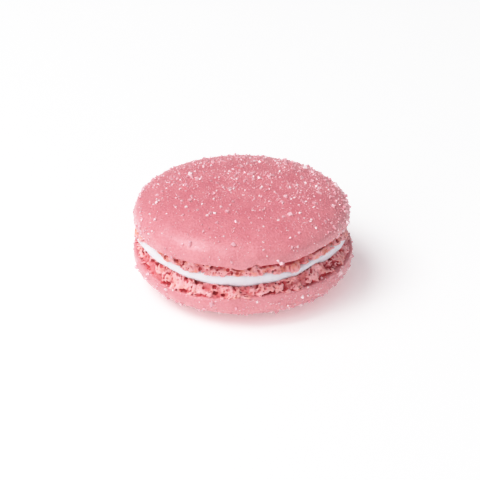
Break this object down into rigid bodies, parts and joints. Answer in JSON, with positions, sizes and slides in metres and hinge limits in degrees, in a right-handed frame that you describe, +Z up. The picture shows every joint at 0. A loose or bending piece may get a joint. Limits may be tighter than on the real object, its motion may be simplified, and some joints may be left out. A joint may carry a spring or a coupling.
{
  "type": "french macaron",
  "caption": "Sandwich biscuit of two domed almond-meringue shells with craggy feet, a white cream filling between them and sugar grains on the shells.",
  "frame": {"origin": "middle of the flat spot that the lower shell rests on", "axes": "+Z up through the two shells, -Y towards the front, +X to the right seen from the front"},
  "size_m": [0.0452, 0.0447, 0.0206],
  "materials": {
    "lower_shell": "baked pink almond meringue, smooth and dull, with an airy craggy foot",
    "cream_filling": "smooth white cream, soft satin",
    "upper_shell": "baked pink almond meringue, smooth and dull, with an airy craggy foot",
    "sugar_grains": "loose clear sugar crystals stuck to the domes"
  },
  "bodies": {
    "root": {"lower_shell": "lower_shell", "cream_filling": "cream_filling", "upper_shell": "upper_shell"}
  },
  "joints": []
}
